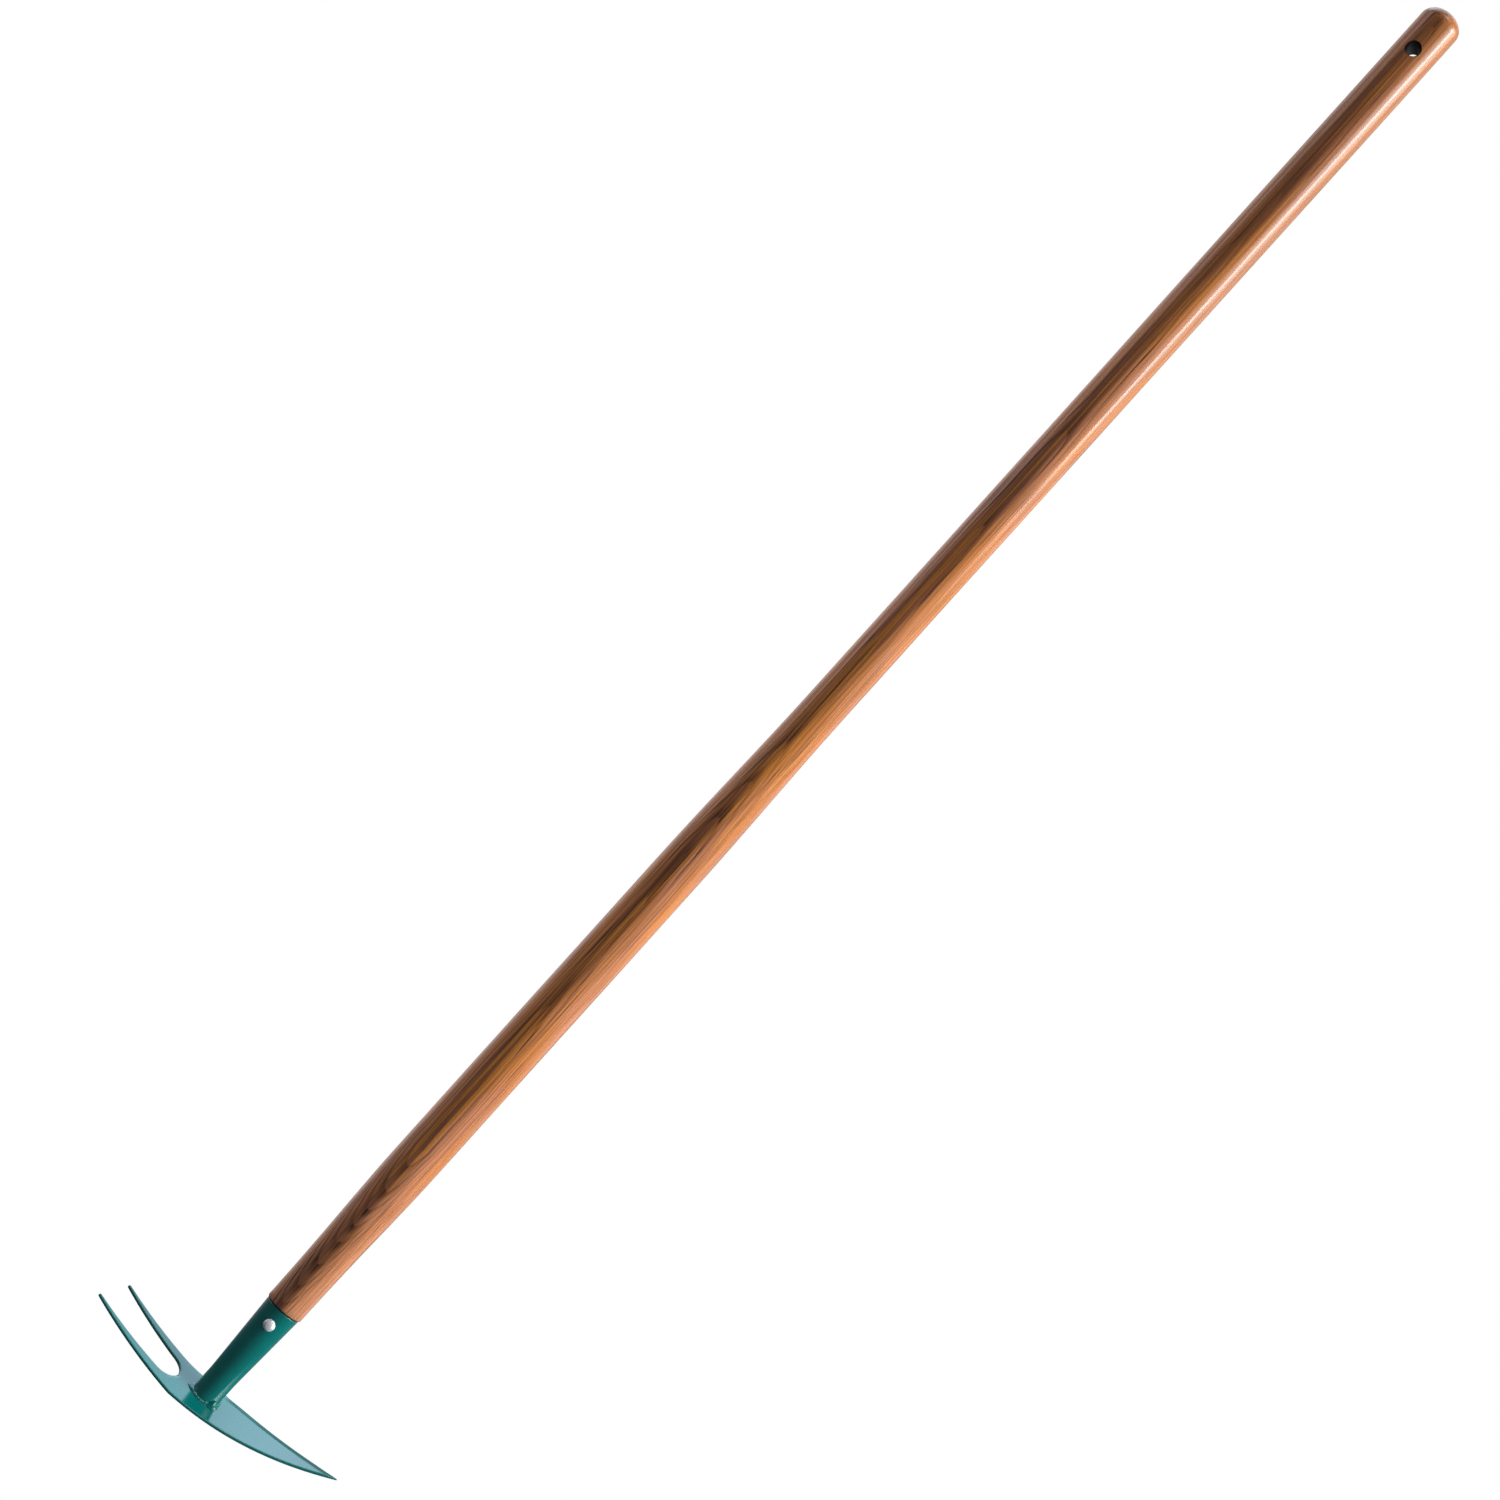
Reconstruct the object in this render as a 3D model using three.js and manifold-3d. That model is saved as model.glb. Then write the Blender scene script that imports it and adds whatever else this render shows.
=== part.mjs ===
// Long-handled combination weeding hoe: a pressed steel head with a pointed blade and a two-tine fork,
// a tapered socket welded to the head, and a turned ash handle held in the socket by one rivet.
//
// Millimetres, +Z up. The hoe hangs by the hole in its grip end, and the origin is that hole's centre.
// +X runs along the head to the blade's point, +Y is the side of the blade's ground edge.
// Heights inside the hoe are measured up the handle from the seat, the point where the socket's axis
// meets the upper face of the head plate.

import * as THREE from "three";
import { mergeVertices } from "three/addons/utils/BufferGeometryUtils.js";
import { TessellateModifier } from "three/addons/modifiers/TessellateModifier.js";
import Module from "manifold-3d";

const wasm = await Module();
wasm.setup();

const degrees = THREE.MathUtils.degToRad;

// ---------------------------------------------------------------- driving dimensions

const GAP = 0.3; // clearance left between pieces that touch on the real hoe

// Handle
const GRIP_END = 1208; // height of the domed end
const HANG_HOLE_HEIGHT = 1172;
const HANG_HOLE_DIAMETER = 10.4;
const SHAFT_DIAMETER = 28;
const GRIP_SWELL = 0.8; // how much thicker the grip end is than the shaft
const BELLY_DIAMETER = 32; // the swell between the lower hand's place and the socket
const NECK_DIAMETER = 27.2; // just above the socket's mouth
const NECK_ROUNDING = 1.2; // how the neck rolls over into the shoulder
const DOME_HEIGHT = 11;
const TENON_FOOT = 8; // height of the tenon's lower end, inside the socket

// Socket
const SOCKET_LENGTH = 75.2; // height of the mouth
const MOUTH_DIAMETER = 25.6;
const BASE_DIAMETER = 19.9;
const FLARE_START = 17; // the socket is a plain tube below this height
const SOCKET_WALL = 1.9;
const SOCKET_OVERRUN = 8; // extra length below the seat, cut off along the plate

// Rivet
const RIVET_HEIGHT = 63.6;
const RIVET_AZIMUTH = degrees(12); // from -Y towards +X
const SHANK_DIAMETER = 5;
const HEAD_DIAMETER = 8.6;
const HEAD_HEIGHT = 2.5;
const TAIL_DIAMETER = 8;
const TAIL_HEIGHT = 1.8; // the hammered end is flatter than the made head

// Head plate, laid out flat before it is pressed to its curve
const PLATE_THICKNESS = 2;
const PLATE_TILT = degrees(16.5); // rear edge raised towards the grip
const PLATE_LEAN = degrees(1.6); // blade side lowered where the socket stands
const FORK_BEND_RADIUS = 370;
const BLADE_BEND_RADIUS = 285;
const BLADE_POINT = new THREE.Vector2(100, 18);
const BLADE_POINT_ROUNDING = 1;
const FORK_AXIS_Y = -8.9; // the fork's centre line lies in front of the socket
const FORK_ROOT_HALF_WIDTH = 21.9;
const SLOT_END_RADIUS = 12.4;
const SLOT_END_X = -33.7; // centre of the slot's round end
const SLOT_TIP_HALF_WIDTH = 16.9;
const TINE_TIP_WIDTH = 2.2;
const FRONT_TINE_TIP_X = -92;
const REAR_TINE_TIP_X = -89.5;
const BEVEL_WIDTH = 5.5;
const BEVEL_DEPTH = 1.1;
const GROUND_EDGE = [
  new THREE.Vector2(5.5, 20),
  new THREE.Vector2(21.5, 22.6),
  new THREE.Vector2(47.5, 23.4),
  new THREE.Vector2(75.5, 22.2),
  new THREE.Vector2(96.5, 19.2),
]; // the blade's rear edge, from behind the socket to the point

// Weld
const WELD_LEG = 2.3;
const WELD_LUMP_RADIUS = 3.3; // where the bead was started and stopped

// Facets
const ROUND = 40;
const RING_STEP = 28;
const PLATE_EDGE = 12; // longest facet edge on the bent plate

// ---------------------------------------------------------------- solids

// A closed three.js geometry as a solid that can be joined and cut.
function solid(geometry) {
  const bare = geometry.index ? geometry.toNonIndexed() : geometry.clone();
  bare.deleteAttribute("normal");
  bare.deleteAttribute("uv");
  const merged = mergeVertices(bare, 1e-4);
  return new wasm.Manifold(
    new wasm.Mesh({
      numProp: 3,
      vertProperties: merged.attributes.position.array,
      triVerts: new Uint32Array(merged.index.array),
    }),
  );
}

// A solid back as a three.js geometry.
function geometryOf(made) {
  const mesh = made.getMesh();
  const geometry = new THREE.BufferGeometry();
  geometry.setAttribute("position", new THREE.BufferAttribute(mesh.vertProperties, 3));
  geometry.setIndex(new THREE.BufferAttribute(mesh.triVerts, 1));
  geometry.computeVertexNormals();
  return geometry;
}

// A profile of [radius, height] points turned about Z.
function turned(profile, segments = ROUND) {
  const points = profile.map(([radius, height]) => new THREE.Vector2(radius, height));
  return new THREE.LatheGeometry(points, segments).rotateX(Math.PI / 2);
}

// A bar along Y, turned about Z to a given azimuth, at a given height.
function crossBar(radius, length, azimuth, height) {
  return new THREE.CylinderGeometry(radius, radius, length, ROUND)
    .rotateZ(azimuth)
    .translate(0, 0, height);
}

// A quarter of an ellipse as [radius, height] points, from its widest ring to its top.
function quarterDome(radius, height, foot, steps) {
  return Array.from({ length: steps + 1 }, (_, i) => {
    const turn = (Math.PI / 2) * (i / steps);
    return [i < steps ? radius * Math.cos(turn) : 0, foot + height * Math.sin(turn)];
  });
}

// ---------------------------------------------------------------- handle

function handleRadius(height) {
  const rise = (from, to) => THREE.MathUtils.smoothstep(height, from, to);
  const neck = (SHAFT_DIAMETER - NECK_DIAMETER) * (1 - rise(SOCKET_LENGTH, 125));
  const belly = (BELLY_DIAMETER - SHAFT_DIAMETER) * (rise(105, 200) - rise(460, 600));
  const grip = GRIP_SWELL * rise(700, 1150);
  return (SHAFT_DIAMETER - neck + belly + grip) / 2;
}

function socketRadius(height) {
  const rise = Math.max(0, height - FLARE_START) / (SOCKET_LENGTH - FLARE_START);
  return THREE.MathUtils.lerp(BASE_DIAMETER, MOUTH_DIAMETER, rise) / 2;
}

function tenonRadius(height) {
  return socketRadius(height) - SOCKET_WALL - GAP;
}

function handle() {
  const shoulder = SOCKET_LENGTH + GAP;
  const domeFoot = GRIP_END - DOME_HEIGHT;
  const profile = [
    [0, TENON_FOOT],
    [tenonRadius(TENON_FOOT) - 1, TENON_FOOT],
    [tenonRadius(TENON_FOOT + 1), TENON_FOOT + 1],
    [tenonRadius(FLARE_START), FLARE_START],
    [tenonRadius(shoulder), shoulder],
    [handleRadius(shoulder) - NECK_ROUNDING, shoulder],
  ];
  const rings = Math.round((domeFoot - shoulder - NECK_ROUNDING) / RING_STEP);
  for (let i = 0; i < rings; i++) {
    const height = THREE.MathUtils.lerp(shoulder + NECK_ROUNDING, domeFoot, i / rings);
    profile.push([handleRadius(height), height]);
  }
  profile.push(...quarterDome(handleRadius(domeFoot), DOME_HEIGHT, domeFoot, 8));
  const hangHole = crossBar(HANG_HOLE_DIAMETER / 2, 2 * SHAFT_DIAMETER, 0, HANG_HOLE_HEIGHT);
  return solid(turned(profile)).subtract(solid(hangHole)).subtract(rivetHole());
}

// ---------------------------------------------------------------- socket

// The socket's outside as a full solid, grown by a clearance.
function socketBody(clearance) {
  const foot = -2 * SOCKET_OVERRUN;
  const top = SOCKET_LENGTH + 10;
  return solid(
    turned([
      [0, foot],
      [socketRadius(foot) + clearance, foot],
      [socketRadius(FLARE_START) + clearance, FLARE_START],
      [socketRadius(top) + clearance, top],
      [0, top],
    ]),
  );
}

function socket() {
  const foot = -SOCKET_OVERRUN;
  const lip = 0.5; // rounding of the mouth's rim
  const outer = (height) => socketRadius(height);
  const inner = (height) => socketRadius(height) - SOCKET_WALL;
  const profile = [
    [inner(foot), foot],
    [outer(foot), foot],
    [outer(FLARE_START), FLARE_START],
    [outer(SOCKET_LENGTH - lip), SOCKET_LENGTH - lip],
    [outer(SOCKET_LENGTH) - lip, SOCKET_LENGTH],
    [inner(SOCKET_LENGTH), SOCKET_LENGTH],
    [inner(FLARE_START), FLARE_START],
    [inner(foot), foot],
  ];
  return solid(turned(profile)).subtract(belowPlateFace()).subtract(rivetHole());
}

// ---------------------------------------------------------------- rivet

function rivetHole() {
  return solid(crossBar(SHANK_DIAMETER / 2 + GAP, 3 * MOUTH_DIAMETER, RIVET_AZIMUTH, RIVET_HEIGHT));
}

// A domed button on the rivet's axis, its inner side long enough for the socket to cut. It points along +Y.
function button(diameter, height) {
  const seat = socketRadius(RIVET_HEIGHT);
  const points = [
    [0, seat - 3],
    [diameter / 2, seat - 3],
    ...quarterDome(diameter / 2, height - 0.5, seat + 0.5 + GAP, 7),
  ];
  const profile = points.map(([radius, along]) => new THREE.Vector2(radius, along));
  return new THREE.LatheGeometry(profile, 32);
}

function rivet() {
  const body = socketBody(GAP);
  const place = (geometry) =>
    solid(geometry.rotateZ(RIVET_AZIMUTH).translate(0, 0, RIVET_HEIGHT)).subtract(body);
  const madeHead = place(button(HEAD_DIAMETER, HEAD_HEIGHT).rotateZ(Math.PI));
  const tail = place(button(TAIL_DIAMETER, TAIL_HEIGHT));
  const shankLength = 2 * (socketRadius(RIVET_HEIGHT) + 1);
  const shank = solid(crossBar(SHANK_DIAMETER / 2, shankLength, RIVET_AZIMUTH, RIVET_HEIGHT));
  return shank.add(madeHead).add(tail);
}

// ---------------------------------------------------------------- head plate

// The flat blank: a pointed blade to +X and two tapering tines to -X, either side of a round-ended slot.
function blankOutline() {
  const y = (offset) => FORK_AXIS_Y + offset;
  const inside = SLOT_TIP_HALF_WIDTH;
  const outside = SLOT_TIP_HALF_WIDTH + TINE_TIP_WIDTH;
  const middle = (inside + outside) / 2;
  const point = BLADE_POINT;
  const nose = BLADE_POINT_ROUNDING;
  const front = FRONT_TINE_TIP_X + 1;
  const rear = REAR_TINE_TIP_X + 1;
  const outline = new THREE.Shape();
  // front edge: along the front tine's outside, round the corner, and out to the blade's point
  outline.moveTo(front, y(-outside));
  outline.lineTo(-15, y(-FORK_ROOT_HALF_WIDTH));
  outline.quadraticCurveTo(-12.5, y(-FORK_ROOT_HALF_WIDTH), -10, y(-FORK_ROOT_HALF_WIDTH + 0.9));
  outline.quadraticCurveTo(46.5, -17, point.x, point.y - nose);
  outline.quadraticCurveTo(point.x + nose, point.y, point.x - nose, point.y + nose / 2);
  // rear edge: back along the ground edge, past the socket, and out along the rear tine
  outline.lineTo(GROUND_EDGE.at(-1).x, GROUND_EDGE.at(-1).y);
  outline.splineThru(GROUND_EDGE.slice(0, -1).reverse());
  outline.bezierCurveTo(-3.5, 18.5, -12.5, 13.6, -27.5, y(FORK_ROOT_HALF_WIDTH - 0.5));
  outline.lineTo(rear, y(outside));
  // rear tine's tip, the slot, and the front tine's tip
  outline.quadraticCurveTo(rear - 2, y(middle), rear, y(inside));
  outline.lineTo(SLOT_END_X, y(SLOT_END_RADIUS));
  outline.absarc(SLOT_END_X, FORK_AXIS_Y, SLOT_END_RADIUS, Math.PI / 2, -Math.PI / 2, true);
  outline.lineTo(front, y(-inside));
  outline.quadraticCurveTo(front - 2, y(-middle), front, y(-outside));
  return outline;
}

// The wedge ground off the upper face along the blade's rear edge. It runs in from outside the edge.
function bevelWedge() {
  const heel = new THREE.Vector2(-6.5, 18.5);
  const beyond = new THREE.Vector2(110, 16.5);
  const edge = new THREE.SplineCurve([heel, ...GROUND_EDGE, beyond]);
  const path = new THREE.CatmullRomCurve3(
    edge.getPoints(24).map((p) => new THREE.Vector3(p.x, p.y, 0)),
  );
  const outside = 6;
  const above = -4;
  const section = new THREE.Shape();
  section.moveTo(0, -BEVEL_WIDTH);
  section.lineTo(BEVEL_DEPTH * (1 + outside / BEVEL_WIDTH), outside);
  section.lineTo(above, outside);
  section.lineTo(above, -BEVEL_WIDTH);
  return new THREE.ExtrudeGeometry(section, { steps: 40, extrudePath: path });
}

// Presses flat metal to the head's curve: the fork and the blade each follow a circle, concave upwards.
function pressed(geometry) {
  const position = geometry.attributes.position;
  for (let i = 0; i < position.count; i++) {
    const radius = position.getX(i) < 0 ? FORK_BEND_RADIUS : BLADE_BEND_RADIUS;
    const turn = position.getX(i) / radius;
    const reach = radius - position.getZ(i);
    position.setX(i, reach * Math.sin(turn));
    position.setZ(i, radius - reach * Math.cos(turn));
  }
  return geometry;
}

// Stands the pressed head on the seat, tilted as it is on the handle.
function seated(geometry) {
  const stand = new THREE.Euler(PLATE_TILT, PLATE_LEAN, 0);
  return geometry.applyMatrix4(new THREE.Matrix4().makeRotationFromEuler(stand));
}

function headPlate() {
  const slab = new THREE.ExtrudeGeometry(blankOutline(), {
    depth: PLATE_THICKNESS,
    bevelEnabled: false,
    curveSegments: 16,
  });
  slab.translate(0, 0, -PLATE_THICKNESS);
  const blank = geometryOf(solid(slab).subtract(solid(bevelWedge())));
  blank.deleteAttribute("normal");
  const fine = new TessellateModifier(PLATE_EDGE, 24).modify(blank.toNonIndexed());
  return solid(seated(pressed(fine)));
}

// Everything below the plate's upper face and a clearance above it, near the socket.
function belowPlateFace() {
  const reach = 60;
  const block = new THREE.BoxGeometry(reach, reach, reach, 12, 1, 1);
  block.translate(0, 0, GAP - reach / 2);
  return solid(seated(pressed(block)));
}

// ---------------------------------------------------------------- weld

function weldBead() {
  const base = BASE_DIAMETER / 2 + GAP;
  const fillet = turned([
    [base - 3, -2],
    [base + WELD_LEG + GAP, -2],
    [base + WELD_LEG + GAP, GAP + 0.3],
    [base + 0.62 * WELD_LEG, GAP + 0.38 * WELD_LEG + 0.3],
    [base + 0.3 * WELD_LEG, GAP + 0.7 * WELD_LEG + 0.3],
    [base, GAP + WELD_LEG + 0.3],
    [base - 3, GAP + WELD_LEG + 0.3],
    [base - 3, -2],
  ]);
  fillet.scale(1, 1 / Math.cos(PLATE_TILT), 1);
  let bead = solid(seated(fillet));
  for (const azimuth of [degrees(207), degrees(-30)]) {
    const lump = new THREE.SphereGeometry(WELD_LUMP_RADIUS, 20, 12);
    lump.translate(base * Math.cos(azimuth), base * Math.sin(azimuth), 0.8);
    bead = bead.add(solid(seated(lump)));
  }
  return bead.subtract(socketBody(GAP)).subtract(belowPlateFace());
}

// ---------------------------------------------------------------- materials

const oiledAsh = new THREE.MeshStandardMaterial({ color: 0x8f5428, roughness: 0.42, metalness: 0 });
const greenEnamel = new THREE.MeshStandardMaterial({ color: 0x0d5a50, roughness: 0.22, metalness: 0 });
const brightSteel = new THREE.MeshStandardMaterial({ color: 0xc9ccd0, roughness: 0.28, metalness: 1 });

// ---------------------------------------------------------------- assembly

function piece(name, made, material) {
  const mesh = new THREE.Mesh(geometryOf(made), material);
  mesh.name = name;
  return mesh;
}

const hoe = new THREE.Group();
hoe.position.z = -HANG_HOLE_HEIGHT;
hoe.add(
  piece("handle", handle(), oiledAsh),
  piece("socket", socket(), greenEnamel),
  piece("rivet", rivet(), brightSteel),
  piece("head_plate", headPlate(), greenEnamel),
  piece("weld_bead", weldBead(), greenEnamel),
);

export default hoe;
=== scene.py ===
"""Looks of the long-handled weeding hoe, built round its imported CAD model.

Metres, in the row's frame: the origin is the hang hole's centre, +Z runs up the handle, +X to the
blade's point, and +Y to the blade's ground edge.
"""

import math

import bmesh
import bpy
import numpy as np
from mathutils import Euler, Matrix, Vector, noise
from mathutils.bvhtree import BVHTree
from mathutils.geometry import interpolate_bezier


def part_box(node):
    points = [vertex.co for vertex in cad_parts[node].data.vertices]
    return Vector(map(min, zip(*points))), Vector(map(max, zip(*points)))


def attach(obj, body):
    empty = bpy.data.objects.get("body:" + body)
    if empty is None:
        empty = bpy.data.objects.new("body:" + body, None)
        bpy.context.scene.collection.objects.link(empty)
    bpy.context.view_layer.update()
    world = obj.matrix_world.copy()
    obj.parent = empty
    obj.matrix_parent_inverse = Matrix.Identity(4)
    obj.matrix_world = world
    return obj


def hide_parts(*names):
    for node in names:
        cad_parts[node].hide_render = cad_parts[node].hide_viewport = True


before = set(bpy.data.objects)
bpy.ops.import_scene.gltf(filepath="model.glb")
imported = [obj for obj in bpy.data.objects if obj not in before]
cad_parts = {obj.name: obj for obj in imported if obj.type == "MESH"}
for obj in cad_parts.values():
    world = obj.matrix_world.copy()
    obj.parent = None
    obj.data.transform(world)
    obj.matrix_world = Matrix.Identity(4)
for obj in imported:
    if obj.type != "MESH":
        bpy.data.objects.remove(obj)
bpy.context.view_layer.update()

MM = 0.001
GAP = 0.3 * MM  # clearance that the CAD solids keep

# ------------------------------------------------------------ places and sizes, read off the frame


def points_of(node):
    return np.array([v.co[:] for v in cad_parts[node].data.vertices])


def ring_radius(points, height, reach=0.2 * MM):
    """Largest distance from the handle's axis among a node's points at one height."""
    near = points[np.abs(points[:, 2] - height) < reach]
    return float(np.hypot(near[:, 0], near[:, 1]).max())


handle_low, handle_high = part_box("handle")
socket_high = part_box("socket")[1]
rivet_low, rivet_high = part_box("rivet")
plate_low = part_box("head_plate")[0]

SHOULDER = socket_high.z + GAP  # where the handle's neck meets the socket's mouth
MOUTH_RADIUS = socket_high.x
RIVET_HEIGHT = (rivet_low.z + rivet_high.z) / 2
SEAT = -1172 * MM  # where the handle's axis meets the head plate's upper face
BASE_RADIUS = 9.95 * MM  # the socket's radius at the seat
FLARE_START = SEAT + 17 * MM  # the socket is a plain tube below this height
RIVET_AZIMUTH = math.radians(12)

# ------------------------------------------------------------ camera

CAMERA_AZIMUTH = math.radians(12)
CAMERA_DISTANCE = 2.45
CAMERA_HEIGHT = SEAT + 0.5482
CAMERA_SIDESTEP = 17.9 * MM
CAMERA_ROLL = math.radians(42.02)  # the handle leans this far to the right of the picture's upright
CAMERA_LENS = 90.46
SENSOR_WIDTH = 36
CAMERA_CLIP = (0.05, 50)


def make_camera():
    right = Vector((math.cos(CAMERA_AZIMUTH), math.sin(CAMERA_AZIMUTH), 0))
    ahead = Vector((-math.sin(CAMERA_AZIMUTH), math.cos(CAMERA_AZIMUTH), 0))
    up = Vector((0, 0, 1))
    camera = bpy.data.objects.new("camera", bpy.data.cameras.new("camera"))
    bpy.context.scene.collection.objects.link(camera)
    side = math.cos(CAMERA_ROLL) * right + math.sin(CAMERA_ROLL) * up
    top = math.cos(CAMERA_ROLL) * up - math.sin(CAMERA_ROLL) * right
    turn = Matrix((side, top, -ahead)).transposed().to_4x4()
    place = -CAMERA_DISTANCE * ahead - CAMERA_SIDESTEP * right + CAMERA_HEIGHT * up
    camera.matrix_world = Matrix.Translation(place) @ turn
    camera.data.lens = CAMERA_LENS
    camera.data.sensor_width = SENSOR_WIDTH
    camera.data.clip_start, camera.data.clip_end = CAMERA_CLIP
    bpy.context.scene.camera = camera


make_camera()

# ------------------------------------------------------------ studio

WHITE = (1, 1, 1, 1)
FLOOR_HEIGHT = plate_low.z - 0.16
FLOOR_RADIUS = 1.6
FLOOR_FADE = (0.45 * FLOOR_RADIUS, 0.98 * FLOOR_RADIUS)  # it fades out between these distances
FLOOR_COLOURS = ((0.07, 0.095, 0.11, 1), (0.08, 0.105, 0.12, 1))


class Nodes:
    """Short calls for building one material's nodes."""

    def __init__(self, tree):
        self.tree = tree

    def add(self, kind, inputs=None, **settings):
        node = self.tree.nodes.new(kind)
        for name, value in settings.items():
            setattr(node, name, value)
        for name, value in (inputs or {}).items():
            self.set(node.inputs[name], value)
        return node

    def set(self, socket, value):
        if isinstance(value, bpy.types.NodeSocket):
            self.tree.links.new(value, socket)
        else:
            socket.default_value = value

    def math(self, operation, first, second=0.0, third=0.0, clamp=False):
        inputs = {0: first, 1: second, 2: third}
        return self.add("ShaderNodeMath", inputs, operation=operation, use_clamp=clamp).outputs[0]

    def vector_math(self, operation, first, second):
        inputs = {0: first, 1: second}
        return self.add("ShaderNodeVectorMath", inputs, operation=operation).outputs[0]

    def noise(self, vector, scale, detail=3.0, roughness=0.5, distortion=0.0):
        inputs = {
            "Vector": vector,
            "Scale": scale,
            "Detail": detail,
            "Roughness": roughness,
            "Distortion": distortion,
        }
        return self.add("ShaderNodeTexNoise", inputs).outputs["Fac"]

    def range(self, value, low, high, to_low=0.0, to_high=1.0, smooth=False):
        kind = "SMOOTHSTEP" if smooth else "LINEAR"
        inputs = {
            "Value": value,
            "From Min": low,
            "From Max": high,
            "To Min": to_low,
            "To Max": to_high,
        }
        return self.add("ShaderNodeMapRange", inputs, interpolation_type=kind).outputs[0]

    def mix(self, factor, first, second, blend="MIX"):
        node = self.add("ShaderNodeMix", data_type="RGBA", blend_type=blend)
        self.set(node.inputs[0], factor)
        self.set(node.inputs[6], first)
        self.set(node.inputs[7], second)
        return node.outputs[2]

    def stretch(self, vector, scale):
        return self.add("ShaderNodeMapping", {"Vector": vector, "Scale": scale}).outputs[0]

    def bump(self, height, strength, distance, normal=None):
        inputs = {"Height": height, "Strength": strength, "Distance": distance}
        if normal is not None:
            inputs["Normal"] = normal
        return self.add("ShaderNodeBump", inputs).outputs[0]


def new_material(name):
    material = bpy.data.materials.new(name)
    material.use_nodes = True
    material.node_tree.nodes.clear()
    return material, Nodes(material.node_tree)


# Soft sources a long way off: azimuth (from -Y towards +X) and elevation in degrees, how tight the
# glow is, and its radiance at the centre.
MAIN_GLOW = (93, 25, 20, (13.9, 13.3, 12.7))
GLOWS = [
    MAIN_GLOW,
    (62, 22, 9, (0.45, 0.43, 0.40)),
    (145, 5, 10, (0.80, 0.80, 0.80)),
    (12, 80, 60, (5.5, 5.9, 6.2)),
    (237, 0, 8, (1.35, 1.15, 1.12)),
    (285, 5, 8, (0.34, 0.28, 0.27)),
    (327, 5, 6, (0.16, 0.14, 0.13)),
    (12, 10, 6, (0.07, 0.07, 0.07)),
]
HORIZON = (0.02, 0.17)  # sines of the elevations between which the main glow comes up
AMBIENT = (0.035, 0.038, 0.042)

# The bright sheet high behind the hoe: its radiance, the azimuth and elevation of its middle, the
# cosines of the angles from there between which it fades, and the sines of the elevations between
# which it comes up, dims a little and ends.
SKY = (2.08, 2.86, 3.58)
SKY_MIDDLE = (213, 40)
SKY_SPREAD = (0.70, 1.0)
SKY_FOOT = (0.30, 0.66)
SKY_SHOULDER = (0.64, 0.76)
SKY_DIMMED = 0.82
SKY_TOP = (0.95, 0.999)

# Upright panels: name, azimuth, lowest and highest point, width, radiance and colour.
WINDOW_DISTANCE = 4.0
WINDOWS = [
    ("window_right", 84, 0.05, 2.55, 0.85, 11.5, (0.97, 0.99, 1.03)),
    ("window_front", 68, 0.4, 2.0, 1.2, 3.6, (0.95, 1.0, 1.08)),
    ("window_left", 282, -0.7, 2.5, 1.4, 1.3, (1.0, 0.80, 0.74)),
]


def bearing(azimuth, elevation):
    turn, rise = math.radians(azimuth), math.radians(elevation)
    return (math.sin(turn) * math.cos(rise), -math.cos(turn) * math.cos(rise), math.sin(rise))


def make_world():
    """White to the camera. To everything else it is a dim room with a few broad soft sources."""
    world = bpy.data.worlds.new("studio")
    bpy.context.scene.world = world
    world.use_nodes = True
    world.node_tree.nodes.clear()
    n = Nodes(world.node_tree)
    direction = n.add("ShaderNodeTexCoord").outputs["Generated"]

    def facing(azimuth, elevation):
        inputs = {0: direction, 1: bearing(azimuth, elevation)}
        return n.add("ShaderNodeVectorMath", inputs, operation="DOT_PRODUCT").outputs["Value"]

    def scaled(colour, amount):
        inputs = {0: colour, "Scale": amount}
        return n.add("ShaderNodeVectorMath", inputs, operation="SCALE").outputs[0]

    high = n.add("ShaderNodeSeparateXYZ", {"Vector": direction}).outputs["Z"]
    sky = n.range(high, *SKY_FOOT, smooth=True)
    sky = n.math("MULTIPLY", sky, n.range(high, *SKY_TOP, 1.0, 0.0, smooth=True))
    sky = n.math("MULTIPLY", sky, n.range(facing(*SKY_MIDDLE), *SKY_SPREAD, smooth=True))
    sky = n.math("MULTIPLY", sky, n.range(high, *SKY_SHOULDER, 1.0, SKY_DIMMED, smooth=True))
    light = n.vector_math("ADD", AMBIENT, scaled(SKY, sky))
    for glow in GLOWS:
        azimuth, elevation, tightness, radiance = glow
        fall = n.math("MULTIPLY_ADD", facing(azimuth, elevation), tightness, -tightness)
        strength = n.math("EXPONENT", fall)
        if glow is MAIN_GLOW:
            strength = n.math("MULTIPLY", strength, n.range(high, *HORIZON, smooth=True))
        light = n.vector_math("ADD", light, scaled(radiance, strength))
    room = n.add("ShaderNodeBackground", {"Color": light, "Strength": 1.0})
    sheet = n.add("ShaderNodeBackground", {"Color": WHITE, "Strength": 1.0})
    seen = n.add("ShaderNodeLightPath").outputs["Is Camera Ray"]
    both = n.add("ShaderNodeMixShader", {0: seen, 1: room.outputs[0], 2: sheet.outputs[0]})
    n.add("ShaderNodeOutputWorld", {"Surface": both.outputs[0]})


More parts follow.
